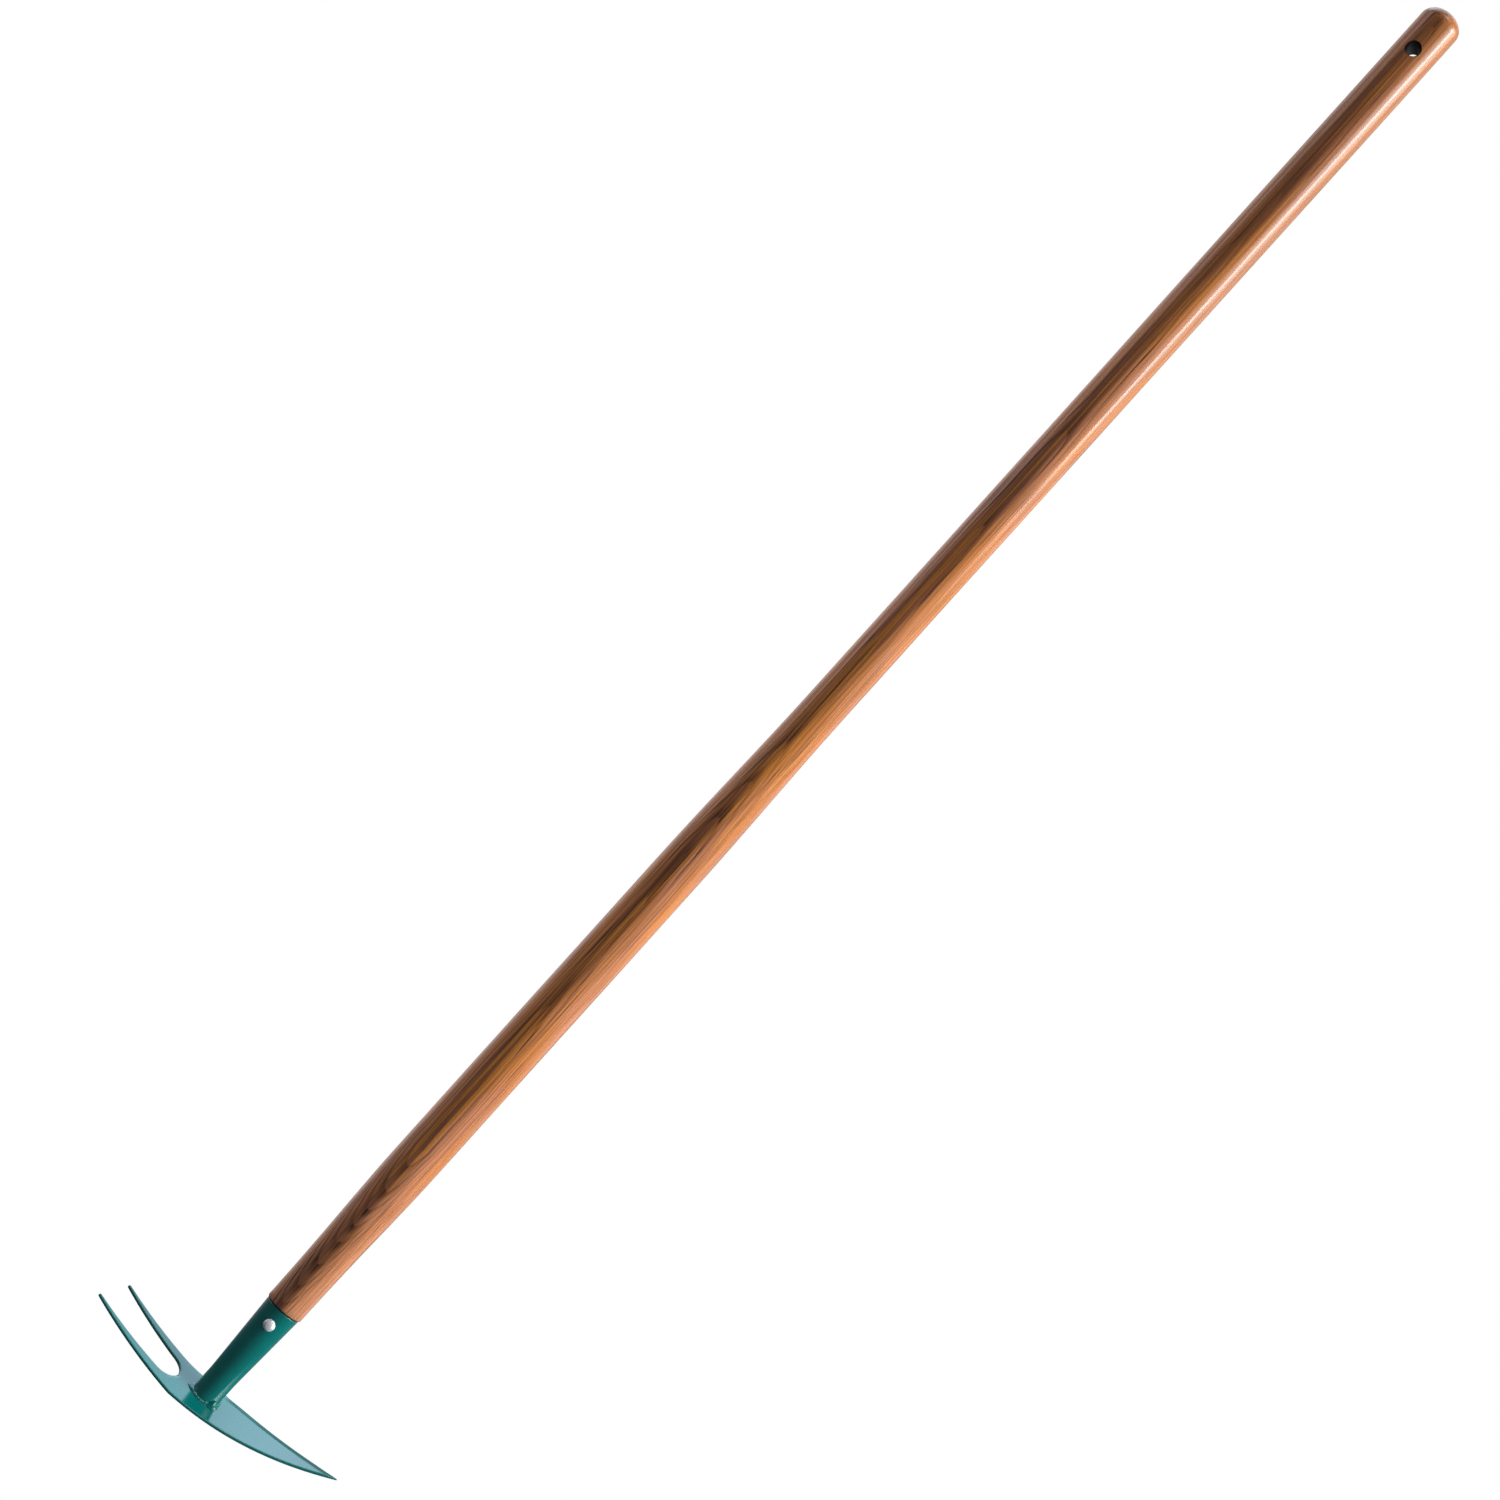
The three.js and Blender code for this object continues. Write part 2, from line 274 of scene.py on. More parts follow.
def softbox(name, azimuth, low, high, width, radiance, colour):
    """An upright panel at an azimuth round the handle, facing it, between two heights."""
    turn = math.radians(azimuth)
    toward = Vector((-math.sin(turn), math.cos(turn), 0))
    data = bpy.data.lights.new(name, "AREA")
    data.shape = "RECTANGLE"
    data.size = width
    data.size_y = high - low
    data.energy = radiance * math.pi * width * (high - low)
    data.color = colour
    light = bpy.data.objects.new(name, data)
    light.location = -WINDOW_DISTANCE * toward + Vector((0, 0, (low + high) / 2))
    light.rotation_euler = toward.to_track_quat("-Z", "Y").to_euler()
    light.visible_camera = False
    bpy.context.scene.collection.objects.link(light)


def make_floor():
    bm = bmesh.new()
    bmesh.ops.create_circle(bm, cap_ends=True, segments=96, radius=FLOOR_RADIUS)
    mesh = bpy.data.meshes.new("floor")
    bm.to_mesh(mesh)
    bm.free()
    floor = bpy.data.objects.new("floor", mesh)
    floor.location.z = FLOOR_HEIGHT
    bpy.context.scene.collection.objects.link(floor)
    material, n = new_material("floor_paper")
    where = n.add("ShaderNodeTexCoord").outputs["Object"]
    away = n.add("ShaderNodeVectorMath", {0: where}, operation="LENGTH").outputs["Value"]
    edge = n.range(away, *FLOOR_FADE, 1.0, 0.0, smooth=True)
    grain = n.noise(where, 120, 3.0, 0.6)
    paper = n.add("ShaderNodeBsdfDiffuse", {"Color": n.mix(grain, *FLOOR_COLOURS)})
    lit = n.add("ShaderNodeEmission", {"Color": WHITE, "Strength": 1.0})
    seen = n.add("ShaderNodeLightPath").outputs["Is Camera Ray"]
    sheet = n.add("ShaderNodeMixShader", {0: seen, 1: paper.outputs[0], 2: lit.outputs[0]})
    clear = n.add("ShaderNodeBsdfTransparent")
    both = n.add("ShaderNodeMixShader", {0: edge, 1: clear.outputs[0], 2: sheet.outputs[0]})
    n.add("ShaderNodeOutputMaterial", {"Surface": both.outputs[0]})
    mesh.materials.append(material)


make_world()
for window in WINDOWS:
    softbox(*window)
make_floor()
bpy.context.scene.view_settings.view_transform = "Standard"

# ------------------------------------------------------------ materials


RING_WIDTH = 1.15 * MM  # one year's growth in the handle's ash
PITH = Vector((0.001, 0.075, 0))  # the tree's centre, well behind the handle
NECK_TOP = SHOULDER + 0.14
NECK_RUNOUT = 7.5 * MM  # how far across the rings the handle's surface wanders in the neck
SHAFT_RUNOUT = 9 * MM
BORE_EDGE = (5.25 * MM, 5.9 * MM)  # distances from the hang hole's axis over which the painted shade inside it ends

SALMON = (0.64, 0.262, 0.128, 1)
ORANGE = (0.68, 0.248, 0.062, 1)
NECK_BROWN = (0.58, 0.262, 0.150, 1)
HEARTWOOD = (0.15, 0.046, 0.020, 1)
GOLD = (0.80, 0.300, 0.040, 1)
EARLY_BLACK = (0.060, 0.019, 0.008, 1)
EARLY_BROWN = (0.20, 0.060, 0.014, 1)
FIBRE_BROWN = (0.15, 0.046, 0.014, 1)
PORE_BLACK = (0.030, 0.011, 0.006, 1)
# painted shade: the colour the upper handle darkens towards, standing in for the main light falling
# off with height
UPPER_SHADE_BROWN = (0.25, 0.090, 0.030, 1)
# near black: grime for the socket joint, and painted shade for the inside of the hang hole
GRIME_AND_BORE_SHADE = (0.010, 0.007, 0.006, 1)

ENAMEL_DEEP = (0.0012, 0.127, 0.118, 1)
ENAMEL_LIGHT = (0.0016, 0.145, 0.133, 1)
ENAMEL_SPECK = (0.004, 0.10, 0.09, 1)

STEEL_BRIGHT = (1.0, 1.0, 1.0, 1)
STEEL_GREY = (0.86, 0.88, 0.92, 1)
STEEL_TARNISH = (0.30, 0.37, 0.45, 1)


def finish_material(n, inputs):
    shader = n.add("ShaderNodeBsdfPrincipled", inputs)
    n.add("ShaderNodeOutputMaterial", {"Surface": shader.outputs[0]})


def make_wood():
    """Oiled ash: growth rings cut along the handle, open-pored earlywood, fibres and a lacquer."""
    material, n = new_material("oiled_ash")
    where = n.add("ShaderNodeTexCoord").outputs["Object"]
    x, _, z = n.add("ShaderNodeSeparateXYZ", {"Vector": where}).outputs

    def grain(across, along, detail=3.0, roughness=0.6):
        """Noise with this many features to the metre across the handle and along it."""
        return n.noise(n.stretch(where, (across, across, along)), 1.0, detail, roughness)

    def times(first, second):
        return n.math("MULTIPLY", first, second)

    # depth across the growth rings: they run out of the handle near its neck and sway along it
    offset = n.vector_math("MULTIPLY", n.vector_math("SUBTRACT", where, PITH), (1, 1, 0))
    grown = n.add("ShaderNodeVectorMath", {0: offset}, operation="LENGTH").outputs["Value"]
    neck_runout = n.range(z, SHOULDER, NECK_TOP, 0.0, NECK_RUNOUT)
    shaft_runout = n.range(z, NECK_TOP, handle_high.z, 0.0, SHAFT_RUNOUT)
    grown = n.math("ADD", grown, n.math("SUBTRACT", neck_runout, shaft_runout))
    grown = n.math("MULTIPLY_ADD", grain(9, 4, 2.0, 0.5), 3.5 * MM, grown)
    grown = n.math("MULTIPLY_ADD", grain(60, 12), 1.6 * MM, grown)
    rings = n.math("FRACT", n.math("DIVIDE", grown, RING_WIDTH))
    early = n.range(rings, 0.30, 0.88, smooth=True)
    early = times(early, n.range(rings, 0.95, 1.0, 1.0, 0.0, smooth=True))
    # long fine streaks of several sizes
    fibre = grain(1000, 14)
    streak = grain(420, 6)
    broad = grain(110, 5, 2.0, 0.5)
    patch = grain(60, 10, 3.0, 0.55)
    # painted light: the +X side, which faces the main light, is plainer, its rings and golden
    # streaks faded as if washed out by light and sheen; a darker heart and golden streaks lie beside
    # it
    lit_side_fade = n.range(n.math("MULTIPLY_ADD", patch, 6 * MM, x), 5 * MM, 11 * MM, smooth=True)
    wander = n.math("MULTIPLY_ADD", broad, 9 * MM, n.math("SUBTRACT", x, 3.3 * MM))
    heart = n.range(n.math("ABSOLUTE", wander), 2.0 * MM, 5.5 * MM, 1.0, 0.0, smooth=True)
    gold = times(n.range(streak, 0.50, 0.62), n.range(lit_side_fade, 0.0, 1.0, 0.9, 0.25))
    gold = times(gold, n.range(z, SHOULDER, NECK_TOP, 0.25, 1.0))
    late = n.mix(n.range(patch, 0.40, 0.60), SALMON, ORANGE)
    late = n.mix(n.range(z, SHOULDER, NECK_TOP, 0.8, 0.0), late, NECK_BROWN)
    late = n.mix(times(heart, 0.60), late, HEARTWOOD)
    late = n.mix(gold, late, GOLD)
    dark = n.mix(n.range(streak, 0.35, 0.65), EARLY_BLACK, EARLY_BROWN)
    band = times(early, n.range(streak, 0.3, 0.65, 1.0, 0.45))
    band = times(band, n.range(broad, 0.35, 0.55, 0.6, 1.0))
    # painted light: the rings fade on the side that faces the main light
    band = times(band, n.range(lit_side_fade, 0.0, 1.0, 1.0, 0.40))
    wood = n.mix(times(band, 0.97), late, dark)
    wood = n.mix(n.range(fibre, 0.42, 0.66, 0.0, 0.55), wood, FIBRE_BROWN)
    # open pores, most of them in the earlywood
    porous = n.range(n.math("MULTIPLY_ADD", streak, 0.5, band), 0.3, 0.75, 0.15, 1.0)
    open_pore = times(n.range(grain(620, 14, 2.0, 0.5), 0.60, 0.65), porous)
    wood = n.mix(times(open_pore, 0.9), wood, PORE_BLACK)
    # painted shade: the handle darkens towards its top, standing in for the main light falling off
    # with height
    upper_shade = n.range(z, -0.45, 0.0, 0.0, 0.42, smooth=True)
    wood = n.mix(upper_shade, wood, UPPER_SHADE_BROWN)
    # grime in the joint at the socket, and painted shade darkening the inside of the hang hole
    joint = n.math("MULTIPLY_ADD", patch, 1.4 * MM, z)
    grime = n.range(joint, SHOULDER + 1.1 * MM, SHOULDER + 2.1 * MM, 0.9, 0.0, smooth=True)
    radial = n.vector_math("MULTIPLY", where, (1, 0, 1))
    from_bore = n.add("ShaderNodeVectorMath", {0: radial}, operation="LENGTH").outputs["Value"]
    bore_shade = n.range(from_bore, *BORE_EDGE, 0.97, 0.0, smooth=True)
    wood = n.mix(n.math("MAXIMUM", grime, bore_shade), wood, GRIME_AND_BORE_SHADE)
    relief = n.math("SUBTRACT", times(fibre, 0.5), open_pore)
    ripple = n.math("MULTIPLY_ADD", patch, 2.0, times(streak, 0.3))
    sanded = n.range(z, handle_high.z - 9 * MM, handle_high.z - 2 * MM, 1.0, 0.35, smooth=True)
    inputs = {
        "Base Color": wood,
        "Roughness": n.range(fibre, 0.2, 0.8, 0.40, 0.52),
        "Specular IOR Level": 0.10,
        "Coat Weight": times(n.math("MULTIPLY_ADD", bore_shade, -0.8, 0.8), sanded),
        "Coat Roughness": n.math("MULTIPLY_ADD", bore_shade, 0.3, 0.14),
        "Coat IOR": 1.5,
        "Normal": n.bump(relief, 0.3, 0.08 * MM),
        "Coat Normal": n.bump(ripple, -0.06, 0.12 * MM),
    }
    finish_material(n, inputs)
    return material


def make_enamel():
    """Glossy green enamel, sprayed and stoved: a faint orange peel and small changes of depth."""
    material, n = new_material("green_enamel")
    where = n.add("ShaderNodeTexCoord").outputs["Object"]
    cloud = n.noise(where, 60, 3.0, 0.6)
    speck = n.noise(where, 900, 2.0, 0.6)
    green = n.mix(n.range(cloud, 0.3, 0.7), ENAMEL_DEEP, ENAMEL_LIGHT)
    green = n.mix(n.range(speck, 0.62, 0.75, 0.0, 0.05), green, ENAMEL_SPECK)
    peel = n.noise(where, 420, 2.0, 0.5)
    wave = n.noise(where, 38, 1.0, 0.4)
    normal = n.bump(wave, 0.10, 0.16 * MM)
    normal = n.bump(peel, 0.008, 0.05 * MM, normal)
    inputs = {
        "Base Color": green,
        "Roughness": n.range(cloud, 0.3, 0.7, 0.09, 0.11),
        "Specular IOR Level": 0.5,
        "Normal": normal,
    }
    finish_material(n, inputs)
    return material


def make_steel():
    """Bright rivet steel with fine hammer and tumbling marks and a little tarnish."""
    material, n = new_material("bright_steel")
    where = n.add("ShaderNodeTexCoord").outputs["Object"]
    dent = n.noise(where, 700, 3.0, 0.6)
    tarnish = n.noise(where, 240, 2.0, 0.5)
    scratch = n.noise(n.stretch(where, (300, 300, 4000)), 1.0, 2.0, 0.6)
    colour = n.mix(n.range(dent, 0.35, 0.7), STEEL_BRIGHT, STEEL_GREY)
    colour = n.mix(n.range(tarnish, 0.46, 0.54, 0.0, 0.7), colour, STEEL_TARNISH)
    normal = n.bump(dent, 0.9, 0.2 * MM)
    normal = n.bump(scratch, 0.2, 0.02 * MM, normal)
    inputs = {
        "Base Color": colour,
        "Metallic": 0.45,
        "Roughness": n.range(dent, 0.3, 0.8, 0.42, 0.52),
        "Normal": normal,
    }
    finish_material(n, inputs)
    return material


wood = make_wood()
enamel = make_enamel()
steel = make_steel()

# ------------------------------------------------------------ mesh helpers


def add_piece(name, bm, material, *nodes, slot):
    mesh = bpy.data.meshes.new(name)
    bmesh.ops.recalc_face_normals(bm, faces=bm.faces[:])
    bm.to_mesh(mesh)
    bm.free()
    for polygon in mesh.polygons:
        polygon.use_smooth = True
    mesh.materials.append(material)
    piece = bpy.data.objects.new(name, mesh)
    bpy.context.scene.collection.objects.link(piece)
    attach(piece, "root")
    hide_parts(*nodes)
    return piece


def evaluated(piece):
    graph = bpy.context.evaluated_depsgraph_get()
    return bpy.data.meshes.new_from_object(piece.evaluated_get(graph))


def turned(profile, segments):
    """A bmesh of a profile of (radius, height) points turned about Z. A radius of 0 closes it."""
    bm = bmesh.new()
    rings = []
    for radius, height in profile:
        if radius == 0:
            rings.append([bm.verts.new((0, 0, height))] * segments)
            continue
        turns = [2 * math.pi * i / segments for i in range(segments)]
        ring = [(radius * math.cos(a), radius * math.sin(a), height) for a in turns]
        rings.append([bm.verts.new(point) for point in ring])
    for low, high in zip(rings, rings[1:]):
        for i in range(segments):
            j = (i + 1) % segments
            corners = [low[i], low[j], high[j], high[i]]
            bm.faces.new(list(dict.fromkeys(corners)))
    return bm


def arc(centre, radius, start, end, steps):
    """Points on a circle, angles in degrees."""
    turns = [math.radians(start + (end - start) * i / steps) for i in range(steps + 1)]
    return [(centre[0] + radius * math.cos(a), centre[1] + radius * math.sin(a)) for a in turns]


plate_tree = BVHTree.FromObject(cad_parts["head_plate"], bpy.context.evaluated_depsgraph_get())


def plate_top(x, y):
    hit = plate_tree.ray_cast(Vector((x, y, SEAT + 0.05)), Vector((0, 0, -1)))[0]
    return hit.z


def socket_radius(height):
    rise = max(0, height - FLARE_START) / (socket_high.z - FLARE_START)
    return BASE_RADIUS + (MOUTH_RADIUS - BASE_RADIUS) * rise


# ------------------------------------------------------------ handle


DOME_HEIGHT = 11 * MM
RING_POINTS = 38  # every turned ring of the CAD handle has at least this many points
SHAFT_STEP = 4 * MM
GRIP_STEP = 1 * MM
GRIP_FOOT = -0.025  # the rings are closer together above this height
TENON_WALL = 3.2 * MM  # how far inside the socket's outer face the tenon lies at its foot
SHOULDER_STEP = 3 * MM
NECK_ROLL = 1.3 * MM  # the rounding of the neck's lower edge
NECK_LIFT = 0.1 * MM
DOME_STEPS = 16
HANDLE_SEGMENTS = 128
WOBBLE = 0.09 * MM  # how far hand sanding leaves the handle from round
BORE_RADIUS = 5.0 * MM
BORE_FLARE = 0.4 * MM
BORE_REACH = 14.0 * MM  # from the handle's axis to the flared mouth
DRILL_SEGMENTS = 64
HANDLE_SHARP = math.radians(32)


def handle_rings():
    """Heights and radii of the CAD handle's turned rings, from its shoulder to the dome's foot."""
    points = points_of("handle")
    levels, counts = np.unique(np.round(points[:, 2], 5), return_counts=True)
    low = SHOULDER + 1 * MM
    high = handle_high.z - DOME_HEIGHT + 1e-5
    rings = [z for z, count in zip(levels, counts) if count >= RING_POINTS and low < z < high]
    radii = [ring_radius(points, z) for z in rings]
    return np.array(rings), np.array(radii)


def handle_profile():
    """The whole turned outline, from the tenon's foot over the smoothed shaft to the dome's top."""
    levels, radii = handle_rings()
    dome_foot = levels[-1]
    shaft = np.arange(levels[0], GRIP_FOOT, SHAFT_STEP)
    grip = np.arange(GRIP_FOOT, dome_foot, GRIP_STEP)
    fine = np.concatenate([shaft, grip])
    smooth = np.interp(fine, levels, radii)
    kernel = np.hanning(9) / np.hanning(9).sum()
    smooth[4:-4] = np.convolve(smooth, kernel, "valid")
    neck = smooth[0]
    top = smooth[-1]
    foot = handle_low.z
    ledge = SHOULDER + NECK_LIFT
    profile = [(0, foot), (socket_radius(foot) - TENON_WALL, foot), (neck - SHOULDER_STEP, ledge)]
    profile += arc((neck - NECK_ROLL, ledge + NECK_ROLL), NECK_ROLL, -90, 0, 6)[:-1]
    profile += list(zip(smooth, fine))
    for i in range(DOME_STEPS):
        turn = math.pi / 2 * i / DOME_STEPS
        rise = (handle_high.z - dome_foot) * math.sin(turn)
        profile.append((top * math.cos(turn), dome_foot + rise))
    return profile + [(0, handle_high.z)]


def drill_profile():
    """A drill with a worn, flared mouth at both sides of the handle."""
    out = BORE_REACH
    beyond = out + 6 * MM
    shares = [k / 5 for k in range(6)]
    side = [(BORE_RADIUS + BORE_FLARE * u**2, out - 1.6 * BORE_FLARE * (1 - u)) for u in shares]
    mouth = BORE_RADIUS + 2.2 * BORE_FLARE
    far = [(mouth, out + 1.2 * BORE_FLARE), (mouth, beyond), (0, beyond)]
    near = [(r, -h) for r, h in reversed(side + far)]
    return near + side + far


def make_drill():
    bm = turned(drill_profile(), DRILL_SEGMENTS)
    bm.transform(Matrix.Rotation(math.pi / 2, 4, "X"))
    mesh = bpy.data.meshes.new("drill")
    bmesh.ops.recalc_face_normals(bm, faces=bm.faces[:])
    bm.to_mesh(mesh)
    bm.free()
    drill = bpy.data.objects.new("drill", mesh)
    bpy.context.scene.collection.objects.link(drill)
    return drill


def make_handle():
    bm = turned(handle_profile(), HANDLE_SEGMENTS)
    for v in bm.verts:
        if v.co.z > SHOULDER + 3 * MM and v.co.xy.length > 1 * MM:
            push = noise.noise(Vector((v.co.x * 40, v.co.y * 40, v.co.z * 9)))
            v.co.xy *= 1 + WOBBLE * (push - 0.6) / v.co.xy.length
    handle = add_piece("handle_wood", bm, wood, "handle", slot="oiled_wood")
    drill = make_drill()
    cut = handle.modifiers.new("hang_hole", "BOOLEAN")
    cut.operation = "DIFFERENCE"
    cut.object = drill
    cut.solver = "EXACT"
    drilled = evaluated(handle)
    handle.modifiers.clear()
    handle.data = drilled
    bpy.data.objects.remove(drill)
    handle.data.set_sharp_from_angle(angle=HANDLE_SHARP)


# ------------------------------------------------------------ socket


SOCKET_WALL = 1.9 * MM
SOCKET_LIP = 0.75 * MM  # rounding of the mouth's outer edge
SOCKET_BORE_LIP = 0.4 * MM  # rounding of its inner edge
SOCKET_LIFT = 0.1 * MM  # the foot stands this far above the plate, inside the weld
SOCKET_SEGMENTS = 128
SOCKET_ROWS = 44
SOCKET_BORE_ROWS = 8
SOCKET_SHARP = math.radians(60)


def make_socket():
    top = socket_high.z
    bm = bmesh.new()
    rings = []

    def ring(radius_at, height_at):
        """A ring whose height depends on the azimuth, and its radius on the height."""
        row = []
        for i in range(SOCKET_SEGMENTS):
            a = 2 * math.pi * i / SOCKET_SEGMENTS
            height = height_at(a)
            radius = radius_at(height)
            row.append(bm.verts.new((radius * math.cos(a), radius * math.sin(a), height)))
        rings.append(row)

    def level_ring(radius, height):
        ring(lambda z: radius, lambda a: height)

    def foot(a):
        return plate_top(BASE_RADIUS * math.cos(a), BASE_RADIUS * math.sin(a)) + SOCKET_LIFT

    for k in range(SOCKET_ROWS + 1):
        ring(socket_radius, lambda a, k=k: foot(a) + (top - SOCKET_LIP - foot(a)) * k / SOCKET_ROWS)
    centre = (socket_radius(top) - SOCKET_LIP, top - SOCKET_LIP)
    for radius, height in arc(centre, SOCKET_LIP, 12, 90, 6):
        level_ring(radius, height)
    bore = socket_radius(top) - SOCKET_WALL
    centre = (bore + SOCKET_BORE_LIP, top - SOCKET_BORE_LIP)
    for radius, height in arc(centre, SOCKET_BORE_LIP, 90, 180, 3):
        level_ring(radius, height)
    start = top - 0.5 * MM
    for k in range(SOCKET_BORE_ROWS + 1):
        ring(
            lambda z: socket_radius(z) - SOCKET_WALL,
            lambda a, k=k: start - (start - foot(a)) * k / SOCKET_BORE_ROWS,
        )
    for low, high in zip(rings, rings[1:] + rings[:1]):
        for i in range(SOCKET_SEGMENTS):
            j = (i + 1) % SOCKET_SEGMENTS
            bm.faces.new([low[i], low[j], high[j], high[i]])
    socket = add_piece("socket_tube", bm, enamel, "socket", slot="green_enamel")
    socket.data.set_sharp_from_angle(angle=SOCKET_SHARP)


# ------------------------------------------------------------ head plate

PLATE_THICKNESS = 2.0
PLATE_TILT = math.radians(16.5)
PLATE_LEAN = math.radians(1.6)
FORK_BEND_RADIUS = 370
BLADE_BEND_RADIUS = 285
FORK_AXIS_Y = -8.9
FORK_ROOT_HALF_WIDTH = 21.9
SLOT_END_RADIUS = 12.4
SLOT_END_X = -33.7
SLOT_TIP_HALF_WIDTH = 16.9
TINE_TIP_WIDTH = 2.2
TINE_TIP_REACH = 2.0
FRONT_TINE_X = -91.0
REAR_TINE_X = -88.5
BLADE_POINT = (100.0, 18.0)
NOSE = 1.0
BEVEL_WIDTH = 7.0
BEVEL_DEPTH = 1.35
EDGE_ROLL = 0.95  # how far the pressed blank's upper edges are rolled over
LOWER_ROLL = 0.45  # the lower edges' share of that
SHARPENED = 0.62  # how much less the ground edge is rolled
GRIND_START = (1, 10)  # the bevel deepens between these places along the blade
MIDDLE_BEND = 1.6  # how late the blade's middle line turns towards its point
HAIR = 0.02
# The outline, front: where the fork's straight edge ends, past which the edge turns in and sweeps to
# the point. Rear: the end of the fork's straight edge, and the sweep from there to the ground edge.
FRONT_CORNER = (-15, -12.5, -10)
FRONT_TURN_IN = 0.9
FRONT_SWEEP = (46.5, -17)
REAR_ROOT_X = -27.5
REAR_ROOT_IN = 0.5
REAR_SWEEP = [(-12.5, 13.6), (-3.5, 18.5)]
GROUND_EDGE = [(5.5, 20), (21.5, 22.6), (47.5, 23.4), (75.5, 22.2), (96.5, 19.2)]


def bezier(*points, steps=24):
    """A Bezier through two, three or four control points, as (x, y) pairs."""
    p = [Vector((*q, 0)) for q in points]
    if len(p) == 2:
        return [tuple(p[0].lerp(p[1], k / steps).xy) for k in range(steps + 1)]
    if len(p) == 3:
        p = [p[0], p[0].lerp(p[1], 2 / 3), p[2].lerp(p[1], 2 / 3), p[2]]
    return [tuple(q.xy) for q in interpolate_bezier(p[0], p[1], p[2], p[3], steps + 1)]


def spline(points, steps=16):
    """A Catmull-Rom curve through the points."""

    def between(p, q, r, s, t):
        bend = 2 * p - 5 * q + 4 * r - s
        twist = 3 * q - p - 3 * r + s
        return 0.5 * (2 * q + (r - p) * t + bend * t**2 + twist * t**3)

    ends = [points[0], *points, points[-1]]
    curve = []
    for corners in zip(ends, ends[1:], ends[2:], ends[3:]):
        for k in range(steps):
            curve.append(tuple(between(*axis, k / steps) for axis in zip(*corners)))
    return curve + [points[-1]]


def edge_of(curve):
    """y as a function of x along a curve that always runs one way."""
    xs, ys = np.array(curve).T
    order = np.argsort(xs, kind="stable")
    return lambda x: float(np.interp(x, xs[order], ys[order]))


def fork_y(offset):
    return FORK_AXIS_Y + offset


def tine_tip(x, sign):
    """A tine's rounded tip in two halves, from its outermost point to its outside and inside."""
    inside = fork_y(sign * SLOT_TIP_HALF_WIDTH)
    outside = fork_y(sign * (SLOT_TIP_HALF_WIDTH + TINE_TIP_WIDTH))
    middle = (inside + outside) / 2
    whole = bezier((x, inside), (x - TINE_TIP_REACH, middle), (x, outside), steps=32)
    return whole[16:], whole[:17][::-1]


def plate_edges():
    """The blank's four edges as functions of x, its outermost point, and the curves themselves."""
    front_out, front_in = tine_tip(FRONT_TINE_X, -1)
    rear_out, rear_in = tine_tip(REAR_TINE_X, 1)
    px, py = BLADE_POINT
    nose = bezier((px, py - NOSE), (px + NOSE, py), (px - NOSE, py + NOSE / 2), steps=32)
    apex = max(range(len(nose)), key=lambda k: nose[k][0])
    corner = fork_y(-FORK_ROOT_HALF_WIDTH)
    start, middle, end = FRONT_CORNER
    turned_in = (end, corner + FRONT_TURN_IN)
    front = front_out + [(start, corner)]
    front += bezier((start, corner), (middle, corner), turned_in, steps=8)
    front += bezier(turned_in, FRONT_SWEEP, (px, py - NOSE), steps=60) + nose[: apex + 1]
    root = (REAR_ROOT_X, fork_y(FORK_ROOT_HALF_WIDTH - REAR_ROOT_IN))
    rear = rear_out + [root] + bezier(root, *REAR_SWEEP, GROUND_EDGE[0], steps=24)
    rear += spline(GROUND_EDGE) + nose[apex:][::-1]
    turns = [math.pi / 2 * k / 32 for k in range(33)]
    slot_x = [SLOT_END_X + SLOT_END_RADIUS * math.sin(a) for a in turns]
    slot_width = [SLOT_END_RADIUS * math.cos(a) for a in turns]
    slot_front = front_in + [(x, fork_y(-w)) for x, w in zip(slot_x, slot_width)]
    slot_rear = rear_in + [(x, fork_y(w)) for x, w in zip(slot_x, slot_width)]
    curves = [front, slot_front, slot_rear, rear]
    return [edge_of(curve) for curve in curves], nose[apex], curves


def stations(tip, apex_x):
    """Places of the cross sections along the head, closer together where the outline turns."""
    eased = [1.0, 0.985, 0.93, 0.82, 0.66, 0.45, 0.22, 0.0]
    start = [tip - reach for reach in eased]
    tine = list(np.linspace(tip, SLOT_END_X, 20))[1:]
    bend = [SLOT_END_X + SLOT_END_RADIUS * math.sin(math.radians(a)) for a in range(5, 90, 5)]
    slot_end = SLOT_END_X + SLOT_END_RADIUS
    root = list(np.linspace(slot_end, -16, 5)) + [-15, -14.1, -13.1, -12.1, -11.1, -10, -8]
    blade = list(np.linspace(-6, apex_x - 6, 36))
    end = [apex_x - reach for reach in (4.5, 3.2, 2.2, 1.5, 1.0, 0.65, 0.4, 0.22, 0.1, 0.03)]
    return start + tine + bend, root + blade + end


def grind(x, y, rear):
    """How far the ground bevel lowers the blade's upper face at a point."""
    start, full = GRIND_START
    begins = np.clip((x - start) / (full - start), 0, 1)
    into = (y - (rear(x) - BEVEL_WIDTH)) / BEVEL_WIDTH
    return BEVEL_DEPTH * float(np.clip(into, 0, 1)) * float(begins * begins * (3 - 2 * begins))


def pressed(p):
    """Presses a point of the flat blank to the head's curve and puts it on the seat, in metres."""
    radius = FORK_BEND_RADIUS if p.x < 0 else BLADE_BEND_RADIUS
    turn = p.x / radius
    reach = radius - p.z
    bent = Vector((reach * math.sin(turn), p.y, radius - reach * math.cos(turn)))
    bent.rotate(Euler((PLATE_TILT, PLATE_LEAN, 0), "ZYX"))
    return bent * MM + Vector((0, 0, SEAT))


